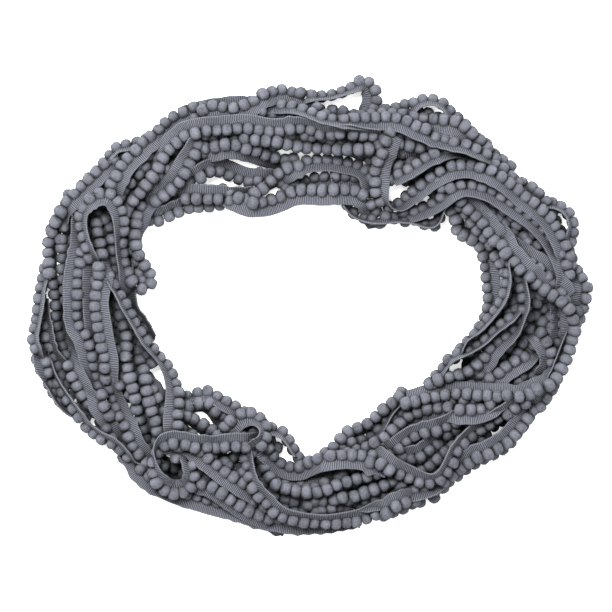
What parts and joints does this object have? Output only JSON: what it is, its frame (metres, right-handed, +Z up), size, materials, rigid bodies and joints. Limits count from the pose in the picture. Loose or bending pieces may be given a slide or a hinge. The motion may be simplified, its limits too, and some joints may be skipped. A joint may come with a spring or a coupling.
{
  "type": "pompom fringe trim hank",
  "caption": "Narrow woven tape edged with small yarn pompoms, wound into a loose oval hank that lies flat, with a few turns straying off its edges",
  "frame": {"origin": "on the surface that the hank lies on, under the middle of its outline", "axes": "X along the hank's longer way, Y across it, Z up through its thickness"},
  "size_m": [0.2699, 0.219, 0.0243],
  "materials": {
    "grey_yarn": "matt"
  },
  "bodies": {
    "root": {"hank": "grey_yarn"}
  },
  "joints": []
}
